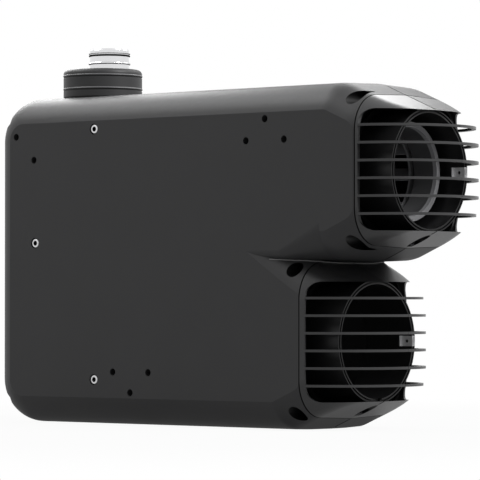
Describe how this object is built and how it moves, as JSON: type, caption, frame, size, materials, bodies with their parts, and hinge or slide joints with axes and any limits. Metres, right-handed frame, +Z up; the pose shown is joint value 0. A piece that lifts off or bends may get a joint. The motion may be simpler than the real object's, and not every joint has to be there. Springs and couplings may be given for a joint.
{
  "type": "caravan gas heater",
  "caption": "Compact warm-air gas heater for a caravan: flat rounded casing with two grilled air ports at one end and a round flue spigot in a collar on top.",
  "frame": {"origin": "middle of the overall length and depth, on the flat that the casing stands on", "axes": "+X along the casing towards the air ports, -Y out of the front face, +Z up"},
  "size_m": [0.497, 0.146, 0.3497],
  "materials": {
    "casing": "matt moulded anthracite plastic",
    "grille": "matt moulded anthracite plastic",
    "duct": "satin black plastic",
    "nozzle": "satin grey plastic",
    "wheel": "satin black plastic",
    "seal": "matt black rubber",
    "screw": "bright zinc-plated steel",
    "dark_screw": "blackened steel",
    "clip": "bright spring steel",
    "flue": "polished stainless steel",
    "sheet": "zinc-plated sheet steel",
    "cast": "sand-blasted cast aluminium",
    "motor": "satin painted steel",
    "valve": "machined brass",
    "coil": "moulded black resin",
    "board": "green solder mask",
    "ceramic": "glazed ceramic"
  },
  "bodies": {
    "root": {"front_shell": "casing", "rear_shell": "casing", "shell_seal": "seal", "shell_screws": "dark_screw", "face_screws": "screw", "upper_grille": "grille", "lower_grille": "grille", "upper_duct_ring": "duct", "lower_duct_ring": "duct", "upper_duct_clip": "clip", "lower_duct_clip": "clip", "intake_plate": "duct", "outlet_plate": "duct", "grille_screws": "dark_screw", "fan_inlet_ring": "nozzle", "fan_bracket": "sheet", "fan_motor": "motor", "carrier_plate": "sheet", "heat_exchanger": "cast", "burner_plate": "sheet", "flame_tube": "sheet", "burner_head": "sheet", "igniter_electrode": "ceramic", "flame_sensor": "ceramic", "mixing_box": "cast", "overheat_switch": "sheet", "air_fan_housing": "duct", "air_motor": "motor", "flue_collar": "casing", "flue_tube": "flue", "flue_o_ring": "seal", "exhaust_pipe": "flue", "flue_manifold": "duct", "air_duct": "duct", "partition_plate": "sheet", "heat_shield": "sheet", "valve_body": "valve", "valve_coil": "coil", "valve_spring": "clip", "gas_inlet": "valve", "gas_pipe": "sheet", "control_housing": "duct", "control_board": "board", "control_cover": "duct", "cable_gland": "duct", "air_sensor": "wheel"},
    "air_fan": {"fan_wheel": "wheel", "fan_shaft": "sheet"},
    "burner_fan": {"air_wheel": "wheel", "air_shaft": "sheet"},
    "plunger": {"valve_plunger": "sheet"}
  },
  "joints": [
    {"name": "fan_spin", "type": "hinge", "parent": "root", "child": "air_fan", "pos_m": [0.14, 0, 0.2255], "axis": [1, 0, 0], "continuous": true},
    {"name": "burner_fan_spin", "type": "hinge", "parent": "root", "child": "burner_fan", "pos_m": [-0.21, 0, 0.081], "axis": [1, 0, 0], "continuous": true},
    {"name": "valve_lift", "type": "slide", "parent": "root", "child": "plunger", "axis": [0, 0, 1], "range_m": [0, 0.002], "stiffness_N_per_m": 200, "deforming": ["valve_spring"]}
  ]
}
